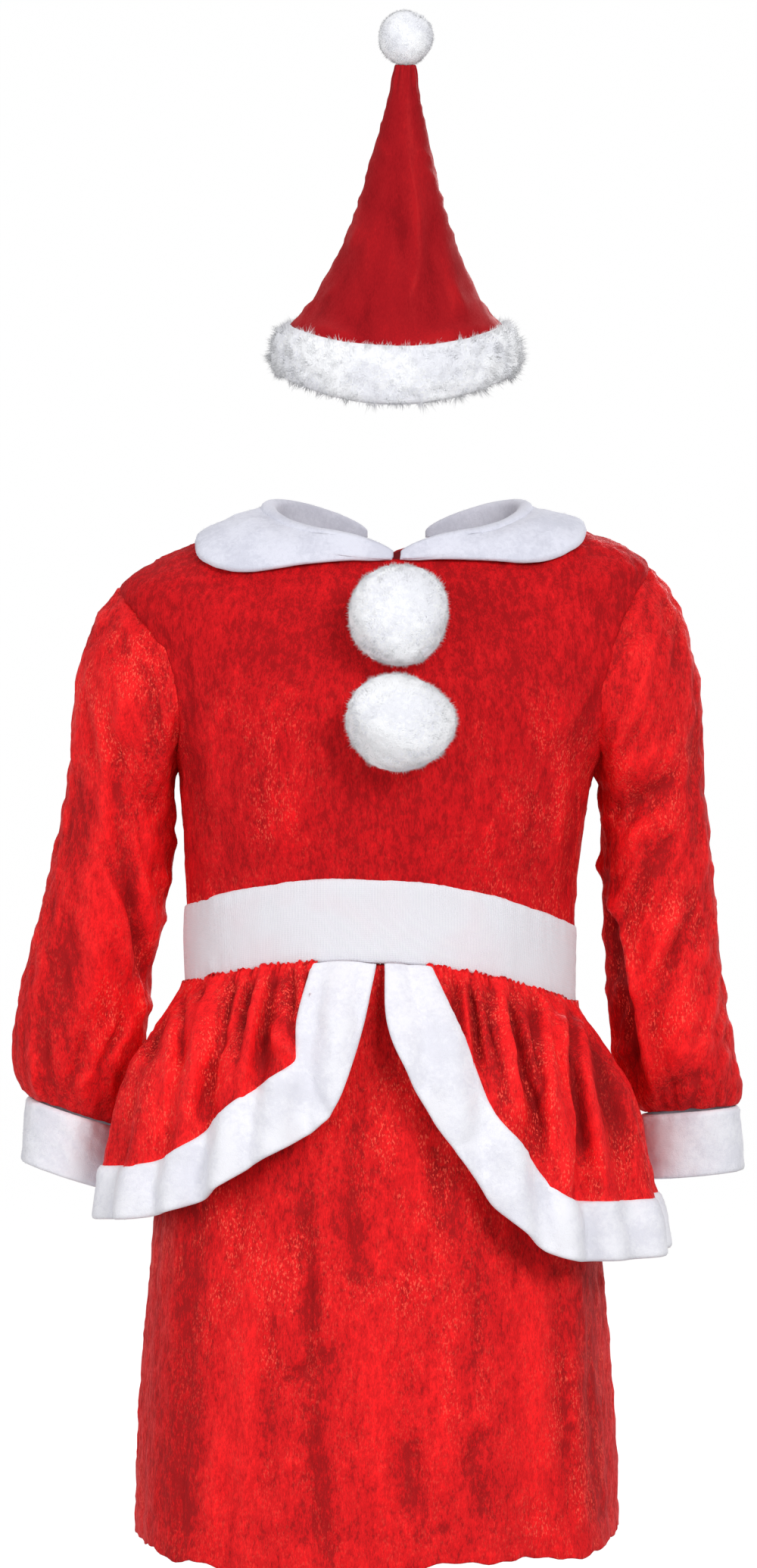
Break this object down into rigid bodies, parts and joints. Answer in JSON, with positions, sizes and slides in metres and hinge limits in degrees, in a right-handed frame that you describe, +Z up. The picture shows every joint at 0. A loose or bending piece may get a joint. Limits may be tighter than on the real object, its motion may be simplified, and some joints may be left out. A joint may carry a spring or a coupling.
{
  "type": "toddler's velour dress and small cone hat costume set",
  "caption": "Toddler's long-sleeved velour costume dress with fleece trim, gathered peplum and pompoms, and a matching small cone hat.",
  "frame": {"origin": "middle of the dress's neck opening, level with the shoulders at the neck", "axes": "+Z up, -Y towards the front of the dress, +X to the viewer's right when looking at the front"},
  "size_m": [0.3588, 0.2261, 0.7399],
  "materials": {
    "velour": "crushed stretch velour, bright red",
    "velvet": "smooth red velvet",
    "fleece": "white brushed fleece",
    "plush": "white long-pile plush"
  },
  "bodies": {
    "root": {"bodice_front": "velour", "bodice_back_left": "velour", "bodice_back_right": "velour", "sleeve_left": "velour", "sleeve_right": "velour", "cuff_left": "fleece", "cuff_right": "fleece", "collar_left": "fleece", "collar_right": "fleece", "waistband": "fleece", "peplum_left": "velour", "peplum_right": "velour", "peplum_trim_left": "fleece", "peplum_trim_right": "fleece", "skirt_front": "velour", "skirt_back": "velour", "pompom_upper": "plush", "pompom_lower": "plush", "hat_front": "velvet", "hat_back": "velvet", "hat_brim": "plush", "hat_pompom": "plush"}
  },
  "joints": []
}
